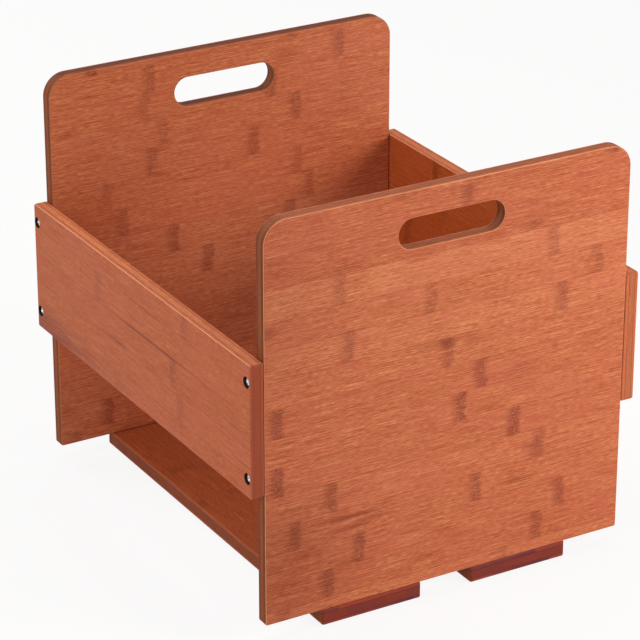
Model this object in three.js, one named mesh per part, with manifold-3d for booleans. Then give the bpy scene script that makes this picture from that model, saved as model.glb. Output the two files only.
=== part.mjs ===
// A bamboo storage stand for 12-inch records. Two upright end panels stand on two base slats, and two side
// rails tie the panels together. Every joint is a screwed butt joint, so nothing on the stand moves.
// Millimetres, +Z up, +Y towards the back. The origin is on the floor, under the middle of the stand.

import * as THREE from 'three';
import { mergeVertices } from 'three/addons/utils/BufferGeometryUtils.js';
import Module from 'manifold-3d';

const wasm = await Module();
wasm.setup();

// ---- Driving sizes ----

const standDepth = 382; // over the outer faces of both end panels

const panelWidth = 338;
const panelHeight = 346;
const panelThickness = 12;
const panelTopRadius = 20;

const slotLength = 98; // hand slot, over its round ends
const slotHeight = 26;
const slotBelowTop = 36; // from the panel's top edge to the slot's centre line

const railHeight = 115;
const railThickness = 12;
const railAbovePanelFoot = 116;

const slatWidth = 93;
const slatThickness = 14;
const slatInset = 52; // from the panel's side edge in to the slat's outer edge

const arris = 1.2; // every sawn edge is rounded over by this radius
const faceCorner = 0.8; // what is left of a square corner's radius on the flat face
const jointGap = 0.3; // hairline joint between two boards

const screwLength = 40; // under the head
const screwDiameter = 4;
const screwPoint = 7; // length of the tapered point
const headDiameter = 8;
const headRim = 1.1; // height of the head's straight rim
const headDome = 1.3; // height of its dome, above the rim
const recessBorder = 1.8; // metal left between the cross recess and the head's rim
const recessWidth = 1.1;
const recessDepth = 1.5;
const screwClearance = 0.3; // air around the shank, under the head and past the point
const headClearance = 0.8; // air around the head, in its counterbore
const headSunk = 1.2; // from the board's face down to the top of the head

const railScrewFromEdge = 16; // from the rail's long edges
const slatScrewFromEdge = 20; // from the slat's long edges

// ---- Fineness of the round surfaces ----

const topCornerSteps = 16; // per quarter circle
const slotEndSteps = 24; // per half circle
const smallCornerSteps = 3; // per quarter circle
const arrisSteps = 3; // per quarter circle
const roundSteps = 16; // around a screw or a hole
const domeSteps = 3; // up the dome of a screw head

// ---- Places worked out from the sizes ----

const panelFoot = slatThickness + jointGap;
const railFoot = panelFoot + railAbovePanelFoot;
const railFace = panelWidth / 2 + jointGap + railThickness; // from the middle to a rail's outer face
const slatOuterEdge = panelWidth / 2 - slatInset; // from the middle to a slat's outer edge
const slatInnerEdge = slatOuterEdge - slatWidth;
const headHeight = headRim + headDome;
const seatDepth = headSunk + headHeight; // from a board's outer face down to a head's underside
const railScrewHeights = [railScrewFromEdge, railHeight - railScrewFromEdge]; // above the rail's foot
const slatScrewOffsets = [slatScrewFromEdge, slatWidth - slatScrewFromEdge]; // across the slat
const screwFromMiddle = (standDepth - panelThickness) / 2; // to the middle of a panel's thickness

// ---- Solids ----

function toSolid(geometry) {
  const bare = geometry.clone();
  bare.deleteAttribute('normal');
  bare.deleteAttribute('uv');
  const merged = mergeVertices(bare);
  const corners = merged.index.array;
  const kept = [];
  for (let i = 0; i < corners.length; i += 3) {
    const [a, b, c] = [corners[i], corners[i + 1], corners[i + 2]];
    if (a !== b && b !== c && c !== a) kept.push(a, b, c);
  }
  return new wasm.Manifold(
    new wasm.Mesh({
      numProp: 3,
      vertProperties: merged.attributes.position.array,
      triVerts: Uint32Array.from(kept),
    }),
  );
}

function toGeometry(solid) {
  const mesh = solid.getMesh();
  const geometry = new THREE.BufferGeometry();
  geometry.setAttribute('position', new THREE.BufferAttribute(mesh.vertProperties, 3));
  geometry.setIndex(new THREE.BufferAttribute(mesh.triVerts, 1));
  geometry.computeVertexNormals();
  return geometry;
}

function arcPoints(x, y, radius, from, to, steps) {
  const points = [];
  for (let i = 0; i <= steps; i++) {
    const angle = from + ((to - from) * i) / steps;
    points.push(new THREE.Vector2(x + radius * Math.cos(angle), y + radius * Math.sin(angle)));
  }
  return points;
}

// A board's outline stands on y = 0 and is centred on x = 0.
function boardOutline(width, height, footRadius, topRadius, topSteps) {
  const half = width / 2;
  const quarter = Math.PI / 2;
  return new THREE.Shape([
    ...arcPoints(half - footRadius, footRadius, footRadius, -quarter, 0, smallCornerSteps),
    ...arcPoints(half - topRadius, height - topRadius, topRadius, 0, quarter, topSteps),
    ...arcPoints(topRadius - half, height - topRadius, topRadius, quarter, 2 * quarter, topSteps),
    ...arcPoints(footRadius - half, footRadius, footRadius, -2 * quarter, -quarter, smallCornerSteps),
  ]);
}

// The board lies from z = 0 to its outer face at z = thickness, with its long edges rounded over.
function boardGeometry(outline, thickness) {
  const geometry = new THREE.ExtrudeGeometry(outline, {
    depth: thickness - 2 * arris,
    bevelThickness: arris,
    bevelSize: arris,
    bevelOffset: -arris,
    bevelSegments: arrisSteps,
  });
  geometry.translate(0, 0, arris);
  return geometry;
}

function squareBoard(length, width, thickness) {
  const corner = arris + faceCorner;
  return boardGeometry(boardOutline(length, width, corner, corner, smallCornerSteps), thickness);
}

function slotOutline() {
  const radius = slotHeight / 2;
  const reach = slotLength / 2 - radius;
  const y = panelHeight - slotBelowTop;
  const quarter = Math.PI / 2;
  return new THREE.Path([
    ...arcPoints(reach, y, radius, -quarter, quarter, slotEndSteps),
    ...arcPoints(-reach, y, radius, quarter, 3 * quarter, slotEndSteps),
  ]);
}

// ---- Screws and the holes they sit in: the head points along +Z, and its underside is at z = 0 ----

function turned(profile) {
  const points = profile.map(([radius, height]) => new THREE.Vector2(radius, height));
  return new THREE.LatheGeometry(points, roundSteps).rotateX(Math.PI / 2);
}

function screwGeometry() {
  const shank = screwDiameter / 2;
  const rim = headDiameter / 2;
  const dome = [];
  for (let i = 0; i <= domeSteps; i++) {
    const angle = (Math.PI / 2) * (i / domeSteps);
    dome.push([rim * Math.cos(angle), headRim + headDome * Math.sin(angle)]);
  }
  dome[domeSteps][0] = 0;
  const point = [[0, -screwLength], [shank, screwPoint - screwLength]];
  const body = turned([...point, [shank, 0], [rim, 0], ...dome]);
  const recessSpan = headDiameter - 2 * recessBorder;
  const arm = new THREE.BoxGeometry(recessSpan, recessWidth, 2 * recessDepth).translate(0, 0, headHeight);
  const cross = toSolid(arm).add(toSolid(arm.clone().rotateZ(Math.PI / 2)));
  return toGeometry(toSolid(body).subtract(cross));
}

function drilling() {
  const bore = headDiameter / 2 + headClearance;
  const hole = screwDiameter / 2 + screwClearance;
  const bottom = -screwLength - screwClearance;
  const mouth = 2 * seatDepth; // well outside the board's face
  const profile = [[0, bottom], [hole, bottom], [hole, -screwClearance], [bore, -screwClearance]];
  return turned([...profile, [bore, mouth], [0, mouth]]);
}

function drilled(board, drillings) {
  let solid = toSolid(board);
  for (const hole of drillings) solid = solid.subtract(toSolid(hole));
  return toGeometry(solid);
}

// Holes that are drilled straight in from a board's outer face.
function faceDrillings(thickness, places) {
  return places.map(([x, y]) => drilling().translate(x, y, thickness - seatDepth));
}

// ---- Finishes ----

function bamboo(colour) {
  return new THREE.MeshStandardMaterial({ color: colour, roughness: 0.42, metalness: 0 });
}

function zinc() {
  return new THREE.MeshStandardMaterial({ color: '#c4c1ba', roughness: 0.3, metalness: 1 });
}

function named(name, geometry, material) {
  const mesh = new THREE.Mesh(geometry, material);
  mesh.name = name;
  return mesh;
}

// ---- End panels: boards standing across the stand, with a hand slot under the top edge ----

function panelGeometry() {
  const footCorner = arris + faceCorner;
  const outline = boardOutline(panelWidth, panelHeight, footCorner, panelTopRadius, topCornerSteps);
  outline.holes.push(slotOutline());
  const middle = panelThickness / 2;
  const holes = [];
  for (const side of [-1, 1]) {
    for (const height of railScrewHeights) {
      const hole = drilling().rotateY((side * Math.PI) / 2);
      holes.push(hole.translate(side * (railFace - seatDepth), railAbovePanelFoot + height, middle));
    }
    for (const offset of slatScrewOffsets) {
      const hole = drilling().rotateX(Math.PI / 2);
      const seat = jointGap + slatThickness - seatDepth;
      holes.push(hole.translate(side * (slatInnerEdge + offset), -seat, middle));
    }
  }
  return drilled(boardGeometry(outline, panelThickness), holes);
}

// A wall stands upright with its outer face at a given distance from the middle, and turns about Z.
function wall(turn, outerFace, thickness, foot) {
  const upright = new THREE.Group();
  upright.rotation.x = Math.PI / 2;
  upright.position.set(0, thickness - outerFace, foot);
  const side = new THREE.Group();
  side.rotation.z = turn;
  side.add(upright);
  stand.add(side);
  return upright;
}

function addPanel(name, turn) {
  const upright = wall(turn, standDepth / 2, panelThickness, panelFoot);
  upright.add(named(name, panelGeometry(), bamboo('#b5653f')));
}

// ---- Side rails: boards screwed to the outside of the panels' side edges ----

// frontEnd is the side of the rail's own x axis on which the stand's front lies.
function addRail(side, turn, frontEnd) {
  const upright = wall(turn, railFace, railThickness, railFoot);
  const places = { front: frontEnd * screwFromMiddle, back: -frontEnd * screwFromMiddle };
  const holes = Object.values(places).flatMap((x) => railScrewHeights.map((y) => [x, y]));
  const board = squareBoard(standDepth, railHeight, railThickness);
  const rail = drilled(board, faceDrillings(railThickness, holes));
  upright.add(named(`${side}_rail`, rail, bamboo('#a85c3b')));
  for (const [end, x] of Object.entries(places)) {
    for (const [level, y] of [['lower', railScrewHeights[0]], ['upper', railScrewHeights[1]]]) {
      const screw = named(`${side}_rail_screw_${end}_${level}`, screwGeometry(), zinc());
      screw.position.set(x, y, railThickness - seatDepth);
      upright.add(screw);
    }
  }
}

// ---- Base slats: boards lying front to back under both panels, screwed up into the panels' feet ----

// The slat's own z axis points down and its own y axis points right, from its left edge.
function addSlat(side, leftEdge, edgeNames) {
  const flat = new THREE.Group();
  flat.rotation.x = Math.PI;
  const lying = new THREE.Group();
  lying.rotation.z = Math.PI / 2;
  lying.position.set(leftEdge, 0, slatThickness);
  lying.add(flat);
  stand.add(lying);
  const places = { front: -screwFromMiddle, back: screwFromMiddle };
  const holes = Object.values(places).flatMap((x) => slatScrewOffsets.map((y) => [x, y]));
  const board = squareBoard(standDepth, slatWidth, slatThickness);
  const slat = drilled(board, faceDrillings(slatThickness, holes));
  flat.add(named(`${side}_slat`, slat, bamboo('#8f4c33')));
  for (const [end, x] of Object.entries(places)) {
    slatScrewOffsets.forEach((y, i) => {
      const screw = named(`${side}_slat_screw_${end}_${edgeNames[i]}`, screwGeometry(), zinc());
      screw.position.set(x, y, slatThickness - seatDepth);
      flat.add(screw);
    });
  }
}

// ---- The stand ----

const stand = new THREE.Group();
stand.name = 'record_storage_stand';

addPanel('front_panel', 0);
addPanel('back_panel', Math.PI);
addRail('left', -Math.PI / 2, 1);
addRail('right', Math.PI / 2, -1);
addSlat('left', -slatOuterEdge, ['outer', 'inner']);
addSlat('right', slatInnerEdge, ['inner', 'outer']);

export default stand;
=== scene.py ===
# A bamboo storage stand for 12-inch records, dressed for looks around its fixed frame. Metres, +Z up,
# +Y towards the back, origin on the floor under the middle of the stand.
import math
import random

import bmesh
import bpy
from mathutils import Matrix, Vector


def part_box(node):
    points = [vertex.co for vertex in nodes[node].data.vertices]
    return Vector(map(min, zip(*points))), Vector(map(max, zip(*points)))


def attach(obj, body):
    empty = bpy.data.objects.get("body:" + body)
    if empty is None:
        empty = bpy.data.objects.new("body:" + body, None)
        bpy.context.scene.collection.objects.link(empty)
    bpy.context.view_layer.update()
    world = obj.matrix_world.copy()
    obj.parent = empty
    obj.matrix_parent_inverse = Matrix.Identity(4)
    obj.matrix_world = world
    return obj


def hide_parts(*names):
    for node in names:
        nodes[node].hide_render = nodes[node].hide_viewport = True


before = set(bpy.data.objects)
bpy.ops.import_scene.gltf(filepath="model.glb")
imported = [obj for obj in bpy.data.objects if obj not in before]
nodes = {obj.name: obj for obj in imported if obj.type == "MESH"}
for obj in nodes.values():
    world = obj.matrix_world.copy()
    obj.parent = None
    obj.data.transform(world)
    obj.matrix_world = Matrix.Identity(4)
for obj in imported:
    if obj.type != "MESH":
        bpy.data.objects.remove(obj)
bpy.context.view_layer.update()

MM = 0.001
scene = bpy.context.scene
scene.view_settings.view_transform = "Standard"


# ---- Camera ----
# A long lens a few metres away, looking down on the front left corner, so that the panel, the rail and the
# ends of the slats all show.

camera_turn = math.radians(30.22)
camera_tilt = math.radians(24.26)
camera_distance = 2.659
camera_aim = Vector((0.0011, 0.0159, 0.1622))

lens = bpy.data.cameras.new("camera")
lens.sensor_width = 36
lens.lens = 175.6
forward = Vector((
    math.sin(camera_turn) * math.cos(camera_tilt),
    math.cos(camera_turn) * math.cos(camera_tilt),
    -math.sin(camera_tilt),
))
camera = bpy.data.objects.new("camera", lens)
camera.location = camera_aim - forward * camera_distance
camera.rotation_euler = (math.pi / 2 - camera_tilt, 0, -camera_turn)
scene.collection.objects.link(camera)
scene.camera = camera


# ---- Floor, room light and lamps ----
# A plain white studio floor and room, with four large soft lamps. The background is white by the colour of
# the floor and the world, and the floor keeps the stand's shadow.


def srgb(code):
    """A hex colour as linear red, green and blue."""
    channels = [int(code[i:i + 2], 16) / 255 for i in (1, 3, 5)]
    return [c / 12.92 if c <= 0.04045 else ((c + 0.055) / 1.055) ** 2.4 for c in channels]


def add(tree, kind, inputs=None, out=0, **settings):
    """Adds a node with its settings and links, and gives back one of its output sockets."""
    made = tree.nodes.new(kind)
    for name, value in settings.items():
        setattr(made, name, value)
    for name, value in (inputs or {}).items():
        if isinstance(value, bpy.types.NodeSocket):
            tree.links.new(value, made.inputs[name])
        else:
            made.inputs[name].default_value = value
    return made.outputs[out]


def seen_share(tree):
    """1 for what the camera sees of a surface, straight or mirrored or through glass, and 0 for its light."""
    rays = add(tree, "ShaderNodeLightPath").node.outputs
    seen = add(
        tree, "ShaderNodeMath", {0: rays["Is Camera Ray"], 1: rays["Is Glossy Ray"]}, operation="MAXIMUM",
    )
    return add(tree, "ShaderNodeMath", {0: seen, 1: rays["Is Transmission Ray"]}, operation="MAXIMUM")


floor_white = "#faf9f8"
floor_size = 14
floor_drop = 0.5
floor_glow = 0.87
room_light = (0.95, 0.97, 1.0, 1)
room_light_strength = 0.22
lamp_aim = Vector((0, 0, 0.17))

floor_mesh = bpy.data.meshes.new("floor")
far = floor_size / 2
floor_mesh.from_pydata([(-far, -far, 0), (far, -far, 0), (far, far, 0), (-far, far, 0)], [], [(0, 1, 2, 3)])
floor = bpy.data.objects.new("floor", floor_mesh)
floor.location.z = -floor_drop * MM
scene.collection.objects.link(floor)

floor_paint = bpy.data.materials.new("matt_white_floor_paint")
floor_paint.use_nodes = True
tree = floor_paint.node_tree
matt = tree.nodes["Principled BSDF"]
matt.inputs["Base Color"].default_value = (*srgb(floor_white), 1)
matt.inputs["Roughness"].default_value = 0.9
matt.inputs["Specular IOR Level"].default_value = 0.0
seen = add(tree, "ShaderNodeMath", {0: seen_share(tree), 1: floor_glow}, operation="MULTIPLY")
glow = add(tree, "ShaderNodeEmission", {"Color": (1, 1, 1, 1), "Strength": 1.0})
whitened = add(tree, "ShaderNodeMixShader", {0: seen, 1: matt.outputs[0], 2: glow})
tree.links.new(whitened, tree.nodes["Material Output"].inputs["Surface"])
floor_mesh.materials.append(floor_paint)

# what the camera and polished metal see of the room is white; what lights the stand is much dimmer
room = bpy.data.worlds.new("white_studio")
scene.world = room
room.use_nodes = True
tree = room.node_tree
tree.nodes.clear()
shown = add(tree, "ShaderNodeBackground", {"Color": (*srgb(floor_white), 1), "Strength": 1.0})
lighting = add(tree, "ShaderNodeBackground", {"Color": room_light, "Strength": room_light_strength})
mixed = add(tree, "ShaderNodeMixShader", {0: seen_share(tree), 1: lighting, 2: shown})
sky = tree.nodes.new("ShaderNodeOutputWorld")
tree.links.new(mixed, sky.inputs["Surface"])

# each lamp's place and width in metres, and its power in watts
for name, place, size, power, colour in (
    ("key_lamp", (1.02, -1.12, 0.66), 0.8, 17, "#fff3e8"),
    ("fill_lamp", (-2.3, -0.6, 1.3), 1.6, 23.5, "#fffaf4"),
    ("top_lamp", (0.1, 0.4, 2.8), 2.0, 21, "#ffffff"),
    ("back_lamp", (-0.9, 2.4, 1.5), 1.6, 26, "#fffaf4"),
):
    light = bpy.data.lights.new(name, "AREA")
    light.shape = "DISK"
    light.size = size
    light.energy = power
    light.color = srgb(colour)
    lamp = bpy.data.objects.new(name, light)
    lamp.location = place
    lamp.rotation_euler = (lamp_aim - Vector(place)).to_track_quat("-Z", "Y").to_euler()
    scene.collection.objects.link(lamp)


# ---- End panels ----
# Two upright boards of three-ply laminated bamboo, 12 mm thick. The face plies are flat strips an inch wide,
# laid level, with the growth nodes left in, and the core ply stands upright between them.

strip_width = 25.4
face_ply = 3.2
end_block = 19.0
panel_top_strip = 5.3
# the nearly black painted shade on the walls of the screw holes, and the distances in mm from each hole's
# axis where it is full and where it is gone
painted_bore_shade = "#1c0d08"
bore_shade_radius = (4.82, 5.05)

# how large the wood's patterns are in mm, along the strips, across them and through the board; the fibre is a
# tenth of a millimetre in the real wood, and is drawn at 0.7 mm so that it shows
streak_size = (60, 4, 4)
fibre_size = (32, 0.7, 1)
fleck_size = (6, 0.8, 1)
cloud_size = (70, 24, 24)
bend_size = (80, 9, 1)
mottle_size = (1.9, 1.5, 2)
core_fibre_size = (1.3, 40, 1.3)
pore_size = (9, 1.2, 1.2)

# the far side's strips are numbered from here, and each strip has a part of the pattern to itself, up to this
# far along it and this much deeper in it than the strip before, in mm
far_side_first = 57.0
shift_along = 900.0
shift_through = 31.0

# a growth node's bar in mm, from its middle to where it starts and ends, and how far it bends and frays
node_soft_side = (-6.0, 4.5)
node_crisp_side = (8.5, 11.7)
node_bend = 7.0
node_fray = 5.0

# the dark line at a joint, where the glue between two plies is darkest and where it ends, and how deep the
# grain lies, in mm; how far each ply's end blocks are shifted, in blocks; and how much rougher the edges are
joint_line = 0.7
glue_line = (0.1, 0.6)
grain_relief = 0.12
ply_shift = 0.37
edge_dullness = 0.28

panel_shades = {
    "light": "#da9164",
    "mid": "#bc6541",
    "dark": "#903c24",
    "blush": "#c86a52",
    "growth": "#baa4ac",
    "sap_and_patches": "#b59b96",
    "face_end": "#73391f",
    "other_end": "#824626",
    "core_on_ends": "#97522c",
    "core_on_edges": "#b26945",
    "ply_on_edges": "#c87150",
    "glue": "#4a2010",
    # the arrises' lighter line, part rubbed-off stain and part painted highlight
    "wear_and_highlight": "#eea474",
}
# the back panel's edges and their lighter arris line are drawn darker than the front panel's: painted shade
back_panel_in_painted_shade = {
    **panel_shades,
    "core_on_edges": "#683722",
    "ply_on_edges": "#763c28",
    "wear_and_highlight": "#b8744c",
}

# The front face's strips from the top: how light each is, then two growth nodes, as shares of the width from
# the left edge, and how dark each node is.
front_strips = (
    (0.30, 0.360, 0.945, 0.50, 0.40),
    (0.30, 0.540, 0.145, 0.55, 0.10),
    (0.25, 0.535, 0.725, 0.30, 0.25),
    (0.90, 0.203, 0.788, 0.55, 0.55),
    (0.55, 0.449, 0.915, 0.55, 0.45),
    (0.75, 0.226, 0.816, 0.65, 0.70),
    (0.55, 0.496, 0.955, 0.66, 0.10),
    (0.40, 0.036, 0.590, 0.88, 0.83),
    (0.45, 0.533, 0.065, 0.90, 0.12),
    (0.40, 0.036, 0.690, 0.95, 0.95),
    (0.55, 0.180, 0.763, 0.70, 0.55),
    (0.45, 0.083, 0.582, 0.70, 0.75),
    (0.40, 0.257, 0.827, 0.80, 0.75),
    (0.35, 0.171, 0.762, 0.80, 0.80),
    (0.70, 0.050, 0.665, 0.55, 0.40),
)

# Where sap stained the front face's strips: share of the width, mm below the top, half length and half height
# # in mm, and how dark. The last two are broad patches that darken the face towards its left edge and its
# lower
# # left corner.
front_sap_and_patches = (
    (0.440, 134.8, 26, 3.2, 0.34),
    (0.492, 137.0, 10, 6.0, 0.50),
    (0.250, 268.0, 34, 2.2, 0.60),
    (0.280, 273.5, 26, 2.0, 0.55),
    (0.235, 278.0, 22, 1.8, 0.40),
    (0.700, 276.0, 22, 2.2, 0.45),
    (0.725, 51.0, 20, 3.0, 0.35),
    (0.550, 12.0, 7, 14.0, 0.30),
    (0.560, 137.0, 9, 12.0, 0.25),
    (0.700, 176.0, 22, 10.0, 0.25),
    (0.745, 250.0, 14, 14.0, 0.35),
    (0.955, 3.0, 8, 3.0, 0.60),
    (0.010, 92.0, 10, 8.0, 0.45),
    (0.000, 90.0, 90, 110.0, 0.26),
    (0.000, 290.0, 110, 90.0, 0.50),
)


def per_mm(sizes):
    """How often a pattern of these sizes repeats in each millimetre."""
    return [1 / size for size in sizes]


def laminated_bamboo(node, axes, first_strip, shades, seed, laid=None, sap_and_patches=(), seam=0.3, end_wear_and_highlight=1.0):
    """Laminated bamboo board, stained reddish brown and sprayed with satin lacquer. axes are the ones along
    its strips, across them and through it, and first_strip is the width of the cut strip at its top. laid is
    the order of the strips on its near side, where it is known, and the next argument the sap stains and
    broad dark patches there. seam is how dark the joints are, and the last how much the ends' arrises keep of
    their lighter line, which is part rubbed-off stain and part painted highlight."""
    grain, across, through = axes
    low, high = (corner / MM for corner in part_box(node))
    length = high[grain] - low[grain]
    middle = (low[through] + high[through]) / 2
    core_half = (high[through] - low[through]) / 2 - face_ply
    material = bpy.data.materials.new(f"stained_bamboo_{node}")
    material.use_nodes = True
    tree = material.node_tree
    surface = tree.nodes["Principled BSDF"]
    shade = {part: (*srgb(code), 1) for part, code in shades.items()}

    # where a point is in the board, in mm, and which way its face looks
    here = add(tree, "ShaderNodeTexCoord", out="Object")
    here = add(tree, "ShaderNodeVectorMath", {0: here, "Scale": 1 / MM}, operation="SCALE")
    place = add(tree, "ShaderNodeSeparateXYZ", {0: here}).node.outputs
    along = place[grain]
    over = place[across]
    depth = add(tree, "ShaderNodeMath", {0: place[through], 1: middle}, operation="SUBTRACT")
    facing = add(tree, "ShaderNodeTexCoord", out="Normal")
    facing = add(tree, "ShaderNodeSeparateXYZ", {0: facing}).node.outputs
    square_on = add(tree, "ShaderNodeMath", {0: facing[through]}, operation="ABSOLUTE")
    cut_across = add(tree, "ShaderNodeMath", {0: facing[grain]}, operation="ABSOLUTE")

    # which strip it is in, on which side of the board, and that strip's own chances
    strips = add(tree, "ShaderNodeMath", {0: over, 1: high[across] - first_strip}, operation="SUBTRACT")
    strips = add(tree, "ShaderNodeMath", {0: strips, 1: strip_width}, operation="DIVIDE")
    strip = add(tree, "ShaderNodeMath", {0: strips}, operation="FLOOR")
    within = add(tree, "ShaderNodeMath", {0: strips}, operation="FRACT")
    side = add(tree, "ShaderNodeMath", {0: depth, 1: 0.0}, operation="GREATER_THAN")
    own = add(tree, "ShaderNodeMath", {0: side, 1: far_side_first, 2: strip}, operation="MULTIPLY_ADD")
    own = add(tree, "ShaderNodeMath", {0: own, 1: seed}, operation="ADD")
    chance = add(tree, "ShaderNodeTexWhiteNoise", {"W": own}, out="Value", noise_dimensions="1D")
    chances = add(tree, "ShaderNodeTexWhiteNoise", {"W": own}, out="Color", noise_dimensions="1D")
    chances = add(tree, "ShaderNodeSeparateColor", {0: chances}).node.outputs

    # it has two growth nodes, one in each half, and is neither very dark nor very light
    first = add(tree, "ShaderNodeMath", {0: chances[0], 1: 0.46}, operation="MULTIPLY")
    second = add(tree, "ShaderNodeMath", {0: chances[1], 1: 0.46, 2: 0.54}, operation="MULTIPLY_ADD")
    first_dark = add(tree, "ShaderNodeMath", {0: chances[2], 1: 0.6, 2: 0.3}, operation="MULTIPLY_ADD")
    second_dark = add(tree, "ShaderNodeMath", {0: chance, 1: 0.6, 2: 0.3}, operation="MULTIPLY_ADD")
    lightness = add(tree, "ShaderNodeMath", {0: chance, 1: 0.5, 2: 0.25}, operation="MULTIPLY_ADD")

    # the near face of a board whose strips are laid in a given order: a ramp with a stop for each strip is a
    # table, and the first one's colour and alpha hold the growth nodes, the second one's alpha the lightness
    if laid:
        rows = len(laid)
        row = add(tree, "ShaderNodeMath", {0: strip, 1: -1 / rows, 2: 0.5 / rows}, operation="MULTIPLY_ADD")
        tables = []
        for columns in ((1, 2, 3, 4), (0, 0, 0, 0)):
            table = add(tree, "ShaderNodeValToRGB", {0: row}).node
            table.color_ramp.interpolation = "CONSTANT"
            stops = table.color_ramp.elements
            for number, strip_facts in enumerate(laid):
                stop = stops[number] if number < 2 else stops.new(number / rows)
                stop.position = number / rows
                stop.color = [strip_facts[column] for column in columns]
            tables.append(table.outputs)
        marks = add(tree, "ShaderNodeSeparateColor", {0: tables[0]["Color"]}).node.outputs
        first = add(tree, "ShaderNodeMix", {0: side, 2: marks[0], 3: first})
        second = add(tree, "ShaderNodeMix", {0: side, 2: marks[1], 3: second})
        first_dark = add(tree, "ShaderNodeMix", {0: side, 2: marks[2], 3: first_dark})
        second_dark = add(tree, "ShaderNodeMix", {0: side, 2: tables[0]["Alpha"], 3: second_dark})
        lightness = add(tree, "ShaderNodeMix", {0: side, 2: tables[1]["Alpha"], 3: lightness})

    # long soft streaks of grain, the fine fibre in them and slow clouds of stain, broken at each joint
    shifted = add(tree, "ShaderNodeMath", {0: chance, 1: shift_along, 2: along}, operation="MULTIPLY_ADD")
    layer = add(tree, "ShaderNodeMath", {0: own, 1: shift_through, 2: depth}, operation="MULTIPLY_ADD")
    lie = add(tree, "ShaderNodeCombineXYZ", {0: shifted, 1: over, 2: layer})
    streaks = add(tree, "ShaderNodeVectorMath", {0: lie, 1: per_mm(streak_size)}, operation="MULTIPLY")
    streaks = add(
        tree, "ShaderNodeTexNoise", {"Vector": streaks, "Scale": 1.0, "Detail": 4.0, "Roughness": 0.62},
    )
    fibres = add(tree, "ShaderNodeVectorMath", {0: lie, 1: per_mm(fibre_size)}, operation="MULTIPLY")
    fibres = add(
        tree, "ShaderNodeTexNoise", {"Vector": fibres, "Scale": 1.0, "Detail": 4.0, "Roughness": 0.6},
    )
    flecks = add(tree, "ShaderNodeVectorMath", {0: lie, 1: per_mm(fleck_size)}, operation="MULTIPLY")
    flecks = add(tree, "ShaderNodeTexNoise", {"Vector": flecks, "Scale": 1.0, "Detail": 2.0})
    clouds = add(tree, "ShaderNodeVectorMath", {0: lie, 1: per_mm(cloud_size)}, operation="MULTIPLY")
    clouds = add(tree, "ShaderNodeTexNoise", {"Vector": clouds, "Scale": 1.0, "Detail": 2.0})
    tone = -0.35
    dark_at, mid_at, light_at = 0.40, 0.72, 1.05
    weights = ((streaks, 0.10), (fibres, 1.15), (flecks, 0.70), (clouds, 0.06), (lightness, 0.17))
    for pattern, weight in weights:
        tone = add(tree, "ShaderNodeMath", {0: pattern, 1: weight, 2: tone}, operation="MULTIPLY_ADD")
    ramp = add(tree, "ShaderNodeValToRGB", {0: tone}).node
    ramp.color_ramp.elements[0].position = dark_at
    ramp.color_ramp.elements[0].color = shade["dark"]
    ramp.color_ramp.elements[1].position = light_at
    ramp.color_ramp.elements[1].color = shade["light"]
    ramp.color_ramp.elements.new(mid_at).color = shade["mid"]
    hues = add(tree, "ShaderNodeSeparateColor", {0: clouds.node.outputs["Color"]}, out="Green")
    hues = add(tree, "ShaderNodeMapRange", {0: hues, 1: 0.40, 2: 0.62, 3: 0.0, 4: 0.22})
    face = add(
        tree, "ShaderNodeMix", {0: hues, 6: ramp.outputs["Color"], 7: shade["blush"]},
        out=2, data_type="RGBA",
    )

    # growth nodes: a mottled bar across each strip and no further, about 12 mm wide, with one crisp side
    bend = add(tree, "ShaderNodeVectorMath", {0: lie, 1: per_mm(bend_size)}, operation="MULTIPLY")
    bend = add(tree, "ShaderNodeTexNoise", {"Vector": bend, "Scale": 1.0, "Detail": 1.0})
    mottle = add(tree, "ShaderNodeVectorMath", {0: lie, 1: per_mm(mottle_size)}, operation="MULTIPLY")
    mottle = add(
        tree, "ShaderNodeTexNoise", {"Vector": mottle, "Scale": 1.0, "Detail": 3.0, "Roughness": 0.7},
    )
    bars = []
    for share, darkness in ((first, first_dark), (second, second_dark)):
        centre = add(tree, "ShaderNodeMath", {0: share, 1: length, 2: low[grain]}, operation="MULTIPLY_ADD")
        off = add(tree, "ShaderNodeMath", {0: along, 1: centre}, operation="SUBTRACT")
        off = add(tree, "ShaderNodeMath", {0: bend, 1: node_bend, 2: off}, operation="MULTIPLY_ADD")
        off = add(tree, "ShaderNodeMath", {0: mottle, 1: node_fray, 2: off}, operation="MULTIPLY_ADD")
        starts, full = node_soft_side
        soft_side = add(
            tree, "ShaderNodeMapRange", {0: off, 1: starts, 2: full, 3: 0.0, 4: 1.0},
            interpolation_type="SMOOTHSTEP",
        )
        fades, ends = node_crisp_side
        crisp_side = add(tree, "ShaderNodeMapRange", {0: off, 1: fades, 2: ends, 3: 1.0, 4: 0.0})
        bar = add(tree, "ShaderNodeMath", {0: soft_side, 1: crisp_side}, operation="MULTIPLY")
        bars.append(add(tree, "ShaderNodeMath", {0: bar, 1: darkness}, operation="MULTIPLY"))
    bar = add(tree, "ShaderNodeMath", {0: bars[0], 1: bars[1]}, operation="MAXIMUM")
    patchy = add(tree, "ShaderNodeMapRange", {0: mottle, 1: 0.38, 2: 0.62, 3: 1.12, 4: 0.28})
    bar = add(tree, "ShaderNodeMath", {0: bar, 1: patchy}, operation="MULTIPLY", use_clamp=True)
    face = add(
        tree, "ShaderNodeMix", {0: bar, 6: face, 7: shade["growth"]},
        out=2, data_type="RGBA", blend_type="MULTIPLY",
    )
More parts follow.
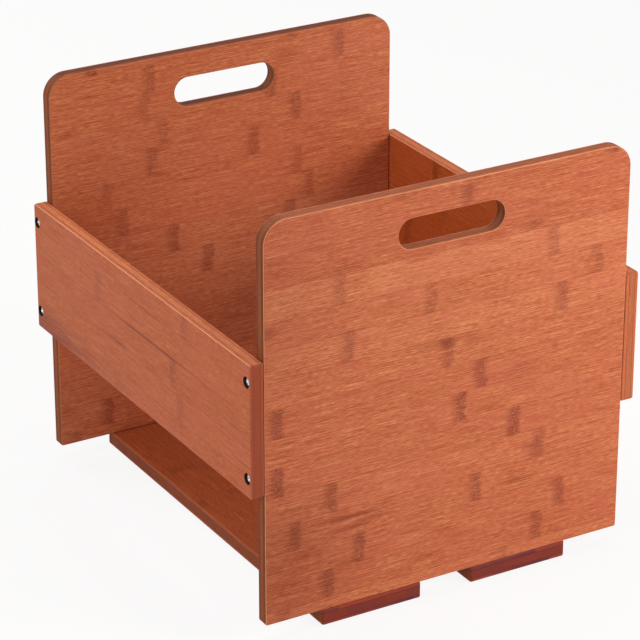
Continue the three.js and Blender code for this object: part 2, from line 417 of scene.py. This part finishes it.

    # sap stains and broad dark patches, drawn out along the grain, on the near side
    near_side = add(tree, "ShaderNodeMath", {0: depth, 1: 0.0}, operation="LESS_THAN")
    for share, below, half_length, half_height, darkness in sap_and_patches:
        centre = [0.0, 0.0, 0.0]
        centre[grain] = low[grain] + share * length
        centre[across] = high[across] - below
        size = [0.0, 0.0, 0.0]
        size[grain] = 1 / half_length
        size[across] = 1 / half_height
        spot = add(tree, "ShaderNodeVectorMath", {0: here, 1: centre}, operation="SUBTRACT")
        spot = add(tree, "ShaderNodeVectorMath", {0: spot, 1: size}, operation="MULTIPLY")
        spot = add(tree, "ShaderNodeVectorMath", {0: spot}, out="Value", operation="LENGTH")
        spot = add(tree, "ShaderNodeMath", {0: streaks, 1: 1.2, 2: spot}, operation="MULTIPLY_ADD")
        spot = add(
            tree, "ShaderNodeMapRange", {0: spot, 1: 0.7, 2: 1.8, 3: darkness, 4: 0.0},
            interpolation_type="SMOOTHSTEP",
        )
        spot = add(tree, "ShaderNodeMath", {0: spot, 1: near_side}, operation="MULTIPLY")
        face = add(
            tree, "ShaderNodeMix", {0: spot, 6: face, 7: shade["sap_and_patches"]},
            out=2, data_type="RGBA", blend_type="MULTIPLY",
        )

    # the hairline where two strips are glued
    near = add(tree, "ShaderNodeMath", {0: within, 1: 0.5}, operation="SUBTRACT")
    near = add(tree, "ShaderNodeMath", {0: near}, operation="ABSOLUTE")
    hairline = add(
        tree, "ShaderNodeMapRange", {0: near, 1: 0.5 - joint_line / strip_width, 2: 0.5, 3: 0.0, 4: seam},
    )
    face = add(tree, "ShaderNodeMix", {0: hairline, 6: face, 7: shade["dark"]}, out=2, data_type="RGBA")

    # the edges show three plies: the face plies' cut ends soak up the stain, the core lies the other way
    turned = add(tree, "ShaderNodeVectorMath", {0: lie, 1: per_mm(core_fibre_size)}, operation="MULTIPLY")
    core = add(tree, "ShaderNodeTexNoise", {"Vector": turned, "Scale": 1.0, "Detail": 3.0, "Roughness": 0.6})
    pores = add(tree, "ShaderNodeVectorMath", {0: lie, 1: per_mm(pore_size)}, operation="MULTIPLY")
    pores = add(tree, "ShaderNodeTexNoise", {"Vector": pores, "Scale": 1.0, "Detail": 2.0})
    ply_number = add(tree, "ShaderNodeMath", {0: depth, 1: 2 * core_half}, operation="DIVIDE")
    ply_number = add(tree, "ShaderNodeMath", {0: ply_number}, operation="ROUND")
    block = add(tree, "ShaderNodeMath", {0: over, 1: 1 / end_block}, operation="MULTIPLY")
    block = add(tree, "ShaderNodeMath", {0: ply_number, 1: ply_shift, 2: block}, operation="MULTIPLY_ADD")
    block = add(tree, "ShaderNodeMath", {0: block}, operation="FLOOR")
    block = add(tree, "ShaderNodeCombineXYZ", {0: block, 1: ply_number, 2: seed})
    block = add(tree, "ShaderNodeTexWhiteNoise", {"Vector": block}, out="Value", noise_dimensions="3D")
    cut_end = add(
        tree, "ShaderNodeMix", {0: block, 6: shade["face_end"], 7: shade["other_end"]},
        out=2, data_type="RGBA",
    )
    long_ply = add(
        tree, "ShaderNodeMix", {0: 0.6, 6: face, 7: shade["ply_on_edges"]}, out=2, data_type="RGBA",
    )
    ply = add(tree, "ShaderNodeMix", {0: cut_across, 6: long_ply, 7: cut_end}, out=2, data_type="RGBA")
    half_block = add(tree, "ShaderNodeMath", {0: block, 1: 0.5}, operation="MULTIPLY")
    core_end = add(
        tree, "ShaderNodeMix", {0: half_block, 6: shade["core_on_ends"], 7: shade["other_end"]},
        out=2, data_type="RGBA",
    )
    core_ply = add(
        tree, "ShaderNodeMix", {0: cut_across, 6: shade["core_on_edges"], 7: core_end},
        out=2, data_type="RGBA",
    )
    core_dark = add(tree, "ShaderNodeMapRange", {0: core, 1: 0.35, 2: 0.65, 3: 0.40, 4: 0.0})
    core_ply = add(
        tree, "ShaderNodeMix", {0: core_dark, 6: core_ply, 7: shade["dark"]}, out=2, data_type="RGBA",
    )
    out_by = add(tree, "ShaderNodeMath", {0: depth}, operation="ABSOLUTE")
    in_face_ply = add(
        tree, "ShaderNodeMapRange", {0: out_by, 1: core_half - 0.2, 2: core_half + 0.2, 3: 0.0, 4: 1.0},
    )
    edge = add(tree, "ShaderNodeMix", {0: in_face_ply, 6: core_ply, 7: ply}, out=2, data_type="RGBA")
    from_glue = add(tree, "ShaderNodeMath", {0: out_by, 1: core_half}, operation="SUBTRACT")
    from_glue = add(tree, "ShaderNodeMath", {0: from_glue}, operation="ABSOLUTE")
    darkest, gone = glue_line
    glue = add(tree, "ShaderNodeMapRange", {0: from_glue, 1: darkest, 2: gone, 3: 0.6, 4: 0.0})
    edge = add(tree, "ShaderNodeMix", {0: glue, 6: edge, 7: shade["glue"]}, out=2, data_type="RGBA")
    pored = add(tree, "ShaderNodeMapRange", {0: pores, 1: 0.40, 2: 0.60, 3: 0.25, 4: 0.0})
    edge = add(tree, "ShaderNodeMix", {0: pored, 6: edge, 7: shade["glue"]}, out=2, data_type="RGBA")
    on_face = add(tree, "ShaderNodeMapRange", {0: square_on, 1: 0.80, 2: 0.95, 3: 0.0, 4: 1.0})
    colour = add(tree, "ShaderNodeMix", {0: on_face, 6: edge, 7: face}, out=2, data_type="RGBA")

    # painted shade: the walls of the screw holes are painted nearly black, standing in for the deep shadow in
    #     # the gap round each screw head
    holes = [sum(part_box(name), Vector()) / 2 / MM for name in nodes if name.startswith(f"{node}_screw")]
    if holes:
        rows_across = [hole[across] for hole in holes]
        middle_across = (min(rows_across) + max(rows_across)) / 2
        half_across = (max(rows_across) - min(rows_across)) / 2
        hole_x = add(tree, "ShaderNodeMath", {0: along}, operation="ABSOLUTE")
        hole_x = add(
            tree, "ShaderNodeMath", {0: hole_x, 1: max(hole[grain] for hole in holes)}, operation="SUBTRACT",
        )
        hole_y = add(tree, "ShaderNodeMath", {0: over, 1: middle_across}, operation="SUBTRACT")
        hole_y = add(tree, "ShaderNodeMath", {0: hole_y}, operation="ABSOLUTE")
        hole_y = add(tree, "ShaderNodeMath", {0: hole_y, 1: half_across}, operation="SUBTRACT")
        from_axis = add(tree, "ShaderNodeCombineXYZ", {0: hole_x, 1: hole_y})
        from_axis = add(tree, "ShaderNodeVectorMath", {0: from_axis}, out="Value", operation="LENGTH")
        shade_full_to, shade_gone_at = bore_shade_radius
        bore_shade = add(tree, "ShaderNodeMapRange", {0: from_axis, 1: shade_full_to, 2: shade_gone_at, 3: 0.92, 4: 0.0})
        colour = add(
            tree, "ShaderNodeMix", {0: bore_shade, 6: colour, 7: (*srgb(painted_bore_shade), 1)},
            out=2, data_type="RGBA",
        )

    # the eased arrises, which face halfway between two sides, are drawn lighter: partly stain sanded off
    # after
    #     # staining, partly a painted highlight where a lamp would catch them
    tilt = add(tree, "ShaderNodeMath", {0: square_on, 1: 0.7071}, operation="SUBTRACT")
    tilt = add(tree, "ShaderNodeMath", {0: tilt}, operation="ABSOLUTE")
    wear_and_highlight = add(tree, "ShaderNodeMapRange", {0: tilt, 1: 0.10, 2: 0.25, 3: 0.9, 4: 0.0})
    wear_and_highlight_breakup = add(tree, "ShaderNodeMapRange", {0: fibres, 1: 0.3, 2: 0.6, 3: 0.6, 4: 1.0})
    wear_and_highlight = add(tree, "ShaderNodeMath", {0: wear_and_highlight, 1: wear_and_highlight_breakup}, operation="MULTIPLY")
    # at the ends of rails and slats the arrises get little of this wear and painted highlight
    at_ends = add(tree, "ShaderNodeMapRange", {0: cut_across, 1: 0.5, 2: 0.68, 3: 1.0, 4: end_wear_and_highlight})
    wear_and_highlight = add(tree, "ShaderNodeMath", {0: wear_and_highlight, 1: at_ends}, operation="MULTIPLY")
    colour = add(tree, "ShaderNodeMix", {0: wear_and_highlight, 6: colour, 7: shade["wear_and_highlight"]}, out=2, data_type="RGBA")
    tree.links.new(colour, surface.inputs["Base Color"])

    # satin lacquer: a soft sheen that the open grain breaks up, duller on the edges, which soak it up
    soaked = add(
        tree, "ShaderNodeMath", {0: on_face, 1: -edge_dullness, 2: edge_dullness}, operation="MULTIPLY_ADD",
    )
    dull = add(tree, "ShaderNodeMapRange", {0: fibres, 1: 0.3, 2: 0.7, 3: 0.52, 4: 0.36})
    dull = add(tree, "ShaderNodeMath", {0: dull, 1: soaked}, operation="ADD")
    tree.links.new(dull, surface.inputs["Roughness"])
    height = add(tree, "ShaderNodeMath", {0: streaks, 1: 0.5, 2: fibres}, operation="MULTIPLY_ADD")
    bump = add(tree, "ShaderNodeBump", {"Strength": 0.5, "Distance": grain_relief * MM, "Height": height})
    tree.links.new(bump, surface.inputs["Normal"])
    surface.inputs["IOR"].default_value = 1.5
    surface.inputs["Specular IOR Level"].default_value = 0.14
    surface.inputs["Coat Weight"].default_value = 0.03
    surface.inputs["Coat Roughness"].default_value = 0.28
    return material


for node, shades, laid, sap_and_patches, seed in (
    ("front_panel", panel_shades, front_strips, front_sap_and_patches, 11.0),
    ("back_panel", back_panel_in_painted_shade, None, (), 211.0),
):
    bamboo = laminated_bamboo(node, (0, 2, 1), panel_top_strip, shades, seed, laid=laid, sap_and_patches=sap_and_patches)
    nodes[node].data.materials.clear()
    nodes[node].data.materials.append(bamboo)


# ---- Side rails ----
# Two boards of the same bamboo, screwed to the panels' side edges from outside, the full depth of the stand.
# Their strips run front to back, closer matched and with fainter nodes than the panels'.

rail_top_strip = 20.0
left_rail_shades = {
    "light": "#c77342",
    "mid": "#b15423",
    "dark": "#963e1b",
    "blush": "#c0603f",
    "growth": "#bea8ab",
    "sap_and_patches": "#b08f80",
    "face_end": "#a34a34",
    "other_end": "#954c36",
    "core_on_ends": "#9a4e36",
    "core_on_edges": "#ee9162",
    "ply_on_edges": "#e88a60",
    "glue": "#7a3822",
    # the arrises' lighter line, part rubbed-off stain and part painted highlight
    "wear_and_highlight": "#f2ad8c",
}
right_rail_shades = {
    **left_rail_shades,
    "face_end": "#cb7148",
    "other_end": "#c26c48",
    "core_on_ends": "#bd7450",
}

# the left rail's outer face, strip by strip from the top, with shares from its front end
left_rail_strips = (
    (0.50, 0.285, 0.900, 0.45, 0.00),
    (0.60, 0.686, 0.100, 0.35, 0.00),
    (0.40, 0.337, 0.940, 0.50, 0.00),
    (0.50, 0.310, 0.850, 0.45, 0.00),
    (0.40, 0.600, 0.150, 0.25, 0.10),
)
# sap stains on the left rail's outer face, in the same columns; the last is a broad patch that darkens it
# along the bottom towards the back
left_rail_sap_and_patches = (
    (0.420, 45.4, 112, 1.7, 0.80),
    (0.590, 69.0, 40, 1.8, 0.60),
    (0.470, 21.0, 34, 1.4, 0.40),
    (0.060, 62.0, 28, 1.3, 0.45),
    (0.060, 88.0, 28, 1.3, 0.40),
    (0.766, 28.3, 2.4, 1.3, 0.90),
    (1.000, 114.0, 150, 24.0, 0.65),
)

for node, shades, laid, sap_and_patches, seed in (
    ("left_rail", left_rail_shades, left_rail_strips, left_rail_sap_and_patches, 405.0),
    ("right_rail", right_rail_shades, None, (), 611.0),
):
    bamboo = laminated_bamboo(
        node, (1, 2, 0), rail_top_strip, shades, seed, laid=laid, sap_and_patches=sap_and_patches, seam=0.45, end_wear_and_highlight=0.15,
    )
    nodes[node].data.materials.clear()
    nodes[node].data.materials.append(bamboo)


# ---- Base slats ----
# Two thicker boards flat on the floor, running front to back under both panels and screwed to them from
# below. Their cut ends show under the panels, and soak up so much stain that they are nearly maroon.

slat_first_strip = 9.0
slat_shades = {
    "light": "#bd6a3f",
    "mid": "#a34e2a",
    "dark": "#7c361c",
    "blush": "#985038",
    "growth": "#bea8ab",
    "sap_and_patches": "#b59b96",
    "face_end": "#a24230",
    "other_end": "#623440",
    "core_on_ends": "#8f3a2c",
    "core_on_edges": "#8c4826",
    "ply_on_edges": "#a65a34",
    "glue": "#5a241b",
    # the arrises' lighter line, part rubbed-off stain and part painted highlight
    "wear_and_highlight": "#a9593a",
}

for node, seed in (("left_slat", 803.0), ("right_slat", 907.0)):
    bamboo = laminated_bamboo(node, (1, 0, 2), slat_first_strip, slat_shades, seed, end_wear_and_highlight=0.15)
    nodes[node].data.materials.clear()
    nodes[node].data.materials.append(bamboo)


# ---- Screws ----
# Sixteen wood screws of zinc-plated steel, 4 mm thick and 40 mm over all, with a low domed head and a cross
# recess. Their heads sit in counterbores: eight through the rails into the panels, and eight up through the
# slats. Their sizes are in mm.

head_radius = 4.0
head_rim = 1.1
head_dome = 1.3
rim_edge = 0.25
rim_bevel = 0.15
recess_reach = 2.3
recess_width = 1.05
recess_depth = 1.6
recess_dip = 0.15
recess_lip = 0.08
shank_radius = 1.7
neck_flare = 0.2
neck_height = 0.25
thread_radius = 2.0
root_radius = 1.35
screw_length = 40.0
plain_shank = 12.0
point_length = 7.0
tip_share = 0.12
tip_setback = 0.05
thread_pitch = 1.8
steps_in_pitch = 6
ridge_half_width = 0.28

# how wide the recess is, as a share of its mouth, at heights above its floor in mm, and the steps in which
# the dome runs out from the recess to the rim
recess_walls = ((0.55, 0.0), (0.80, 0.75))
dome_steps = (0.04, 0.35, 0.6, 0.8, 0.93, 1.0)


def cross_outline(reach, width):
    """The outline of a cross recess, round from +X: each arm's end, its side and the next arm's side."""
    half = width / 2
    end = [(reach, half * share) for share in (-0.5, 0.0, 0.5)]
    arm_side = [(half + (reach - half) * (1 - share), half) for share in (0.0, 0.33, 0.66, 1.0)]
    next_side = [(y, x) for x, y in reversed(arm_side[:-1])]
    outline = []
    for c, s in ((1, 0), (0, 1), (-1, 0), (0, -1)):
        outline += [(x * c - y * s, x * s + y * c) for x, y in end + arm_side + next_side]
    return outline


def head_height(radius):
    """How high the domed head stands above its rim at a radius, in mm."""
    return head_dome * (1 - (radius / head_radius) ** 2) ** 0.5 if radius < head_radius else 0.0


def corner(radius, angle, z):
    """A new corner of the screw's mesh at a radius and an angle about its axis."""
    return built.verts.new((math.cos(angle) * radius, math.sin(angle) * radius, z))


built = bmesh.new()
outline = cross_outline(recess_reach, recess_width)
angles = [math.atan2(y, x) for x, y in outline]
rings = []

# up the recess, from its floor to its mouth, then out over the dome to the rim
recess_floor = head_height(0) - recess_depth
floor_middle = built.verts.new((0, 0, recess_floor - recess_dip))
for share, height in recess_walls:
    rings.append([built.verts.new((x * share, y * share, recess_floor + height)) for x, y in outline])
for step in (0.0, *dome_steps):
    sunk = recess_lip if step == 0.0 else 0.0
    ring = []
    for (x, y), angle in zip(outline, angles):
        radius = math.hypot(x, y) * (1 - step) + head_radius * step
        ring.append(corner(radius, angle, head_height(radius) - sunk))
    rings.append(ring)

# down the rim, in under the head and down the plain shank
under_head = -head_rim
for radius, z in (
    (head_radius, -rim_edge),
    (head_radius - rim_bevel, under_head),
    (shank_radius + neck_flare, under_head),
    (shank_radius, under_head - neck_height),
    (shank_radius, under_head - plain_shank),
):
    rings.append([corner(radius, angle, z) for angle in angles])

# the thread, cut as a ridge that winds down to the point
threaded = screw_length - head_dome - head_rim - plain_shank
for step in range(1, int(threaded / thread_pitch * steps_in_pitch)):
    run = step * thread_pitch / steps_in_pitch
    taper = min(1.0, (threaded - run) / point_length)
    ring = []
    for angle in angles:
        phase = (run / thread_pitch + angle / (2 * math.pi)) % 1.0
        ridge = max(0.0, 1 - abs(phase - 0.5) / ridge_half_width)
        radius = root_radius + (thread_radius - root_radius) * ridge
        radius *= tip_share + (1 - tip_share) * taper
        ring.append(corner(radius, angle, under_head - plain_shank - run))
    rings.append(ring)
tip = built.verts.new((0, 0, under_head - plain_shank - threaded + tip_setback))

count = len(outline)
neighbours = [(k, (k + 1) % count) for k in range(count)]
for inner, outer in zip(rings, rings[1:]):
    for k, after in neighbours:
        built.faces.new((inner[k], outer[k], outer[after], inner[after]))
for k, after in neighbours:
    built.faces.new((floor_middle, rings[0][k], rings[0][after]))
    built.faces.new((tip, rings[-1][after], rings[-1][k]))
bmesh.ops.recalc_face_normals(built, faces=built.faces)
bmesh.ops.scale(built, vec=(MM, MM, MM), verts=built.verts)
screw_mesh = bpy.data.meshes.new("wood_screw")
built.to_mesh(screw_mesh)
built.free()
screw_mesh.shade_smooth()
screw_mesh.set_sharp_from_angle(angle=math.radians(38))

# bright zinc plate over steel: a cool silver, a little cloudy where the plating grew, with fine tool marks;
# how many clouds and marks there are to a millimetre, and how deep the marks are in mm
zinc_dull = "#ccd3dc"
zinc_bright = "#f3f6fa"
clouds_per_mm = 0.9
marks_per_mm = 5.0
mark_depth = 0.02

zinc = bpy.data.materials.new("bright_zinc_plated_steel")
zinc.use_nodes = True
tree = zinc.node_tree
metal = tree.nodes["Principled BSDF"]
here = add(tree, "ShaderNodeTexCoord", out="Object")
here = add(tree, "ShaderNodeVectorMath", {0: here, "Scale": 1 / MM}, operation="SCALE")
cloudy = add(tree, "ShaderNodeTexNoise", {"Vector": here, "Scale": clouds_per_mm, "Detail": 3.0})
plate = add(
    tree, "ShaderNodeMix", {0: cloudy, 6: (*srgb(zinc_dull), 1), 7: (*srgb(zinc_bright), 1)},
    out=2, data_type="RGBA",
)
tree.links.new(plate, metal.inputs["Base Color"])
satin = add(tree, "ShaderNodeMapRange", {0: cloudy, 1: 0.3, 2: 0.7, 3: 0.45, 4: 0.32})
tree.links.new(satin, metal.inputs["Roughness"])
marks = add(tree, "ShaderNodeTexNoise", {"Vector": here, "Scale": marks_per_mm, "Detail": 2.0})
dents = add(tree, "ShaderNodeBump", {"Strength": 0.3, "Distance": mark_depth * MM, "Height": marks})
tree.links.new(dents, metal.inputs["Normal"])
metal.inputs["Metallic"].default_value = 1.0
screw_mesh.materials.append(zinc)

driven = random.Random(7)
for node in sorted(nodes):
    if "screw" not in node:
        continue
    low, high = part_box(node)
    middle = (low + high) / 2
    if "rail" in node:
        outward = Vector((math.copysign(1, middle.x), 0, 0))
    else:
        outward = Vector((0, 0, -1))
    reach = max(high - low) / 2
    rim = middle + outward * (reach - head_dome * MM)
    screw = bpy.data.objects.new(node.replace("screw", "wood_screw"), screw_mesh)
    faced = outward.to_track_quat("Z", "Y").to_matrix().to_4x4()
    turned = Matrix.Rotation(driven.uniform(0, math.pi / 2), 4, "Z")
    screw.matrix_world = Matrix.Translation(rim) @ faced @ turned
    scene.collection.objects.link(screw)
    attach(screw, "root")
    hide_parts(node)
